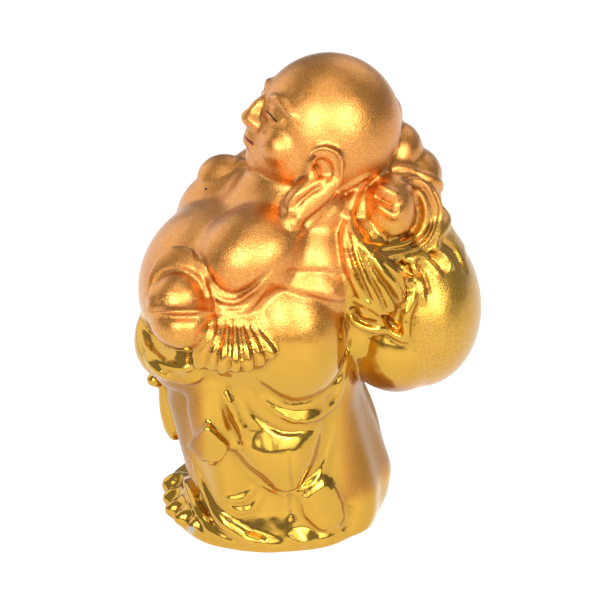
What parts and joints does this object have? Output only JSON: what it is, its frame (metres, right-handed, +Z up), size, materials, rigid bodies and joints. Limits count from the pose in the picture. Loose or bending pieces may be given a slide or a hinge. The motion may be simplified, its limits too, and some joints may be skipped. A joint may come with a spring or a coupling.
{
  "type": "budai figure",
  "caption": "Small gilt figure of a stout, bald, long-eared monk who carries a sack on his back and holds a boat-shaped ingot, cast in one with a low oval base.",
  "frame": {"origin": "middle of the outline on the ground, a little behind the middle of the base", "axes": "+Z up, -Y the way the figure faces, +X to the figure's own left, the side of the ingot"},
  "size_m": [0.0441, 0.0643, 0.0883],
  "materials": {
    "gold_coat": "metallised gold on cast resin, satin and speckled above, glossy below"
  },
  "bodies": {
    "root": {"budai_figure": "gold_coat"}
  },
  "joints": []
}
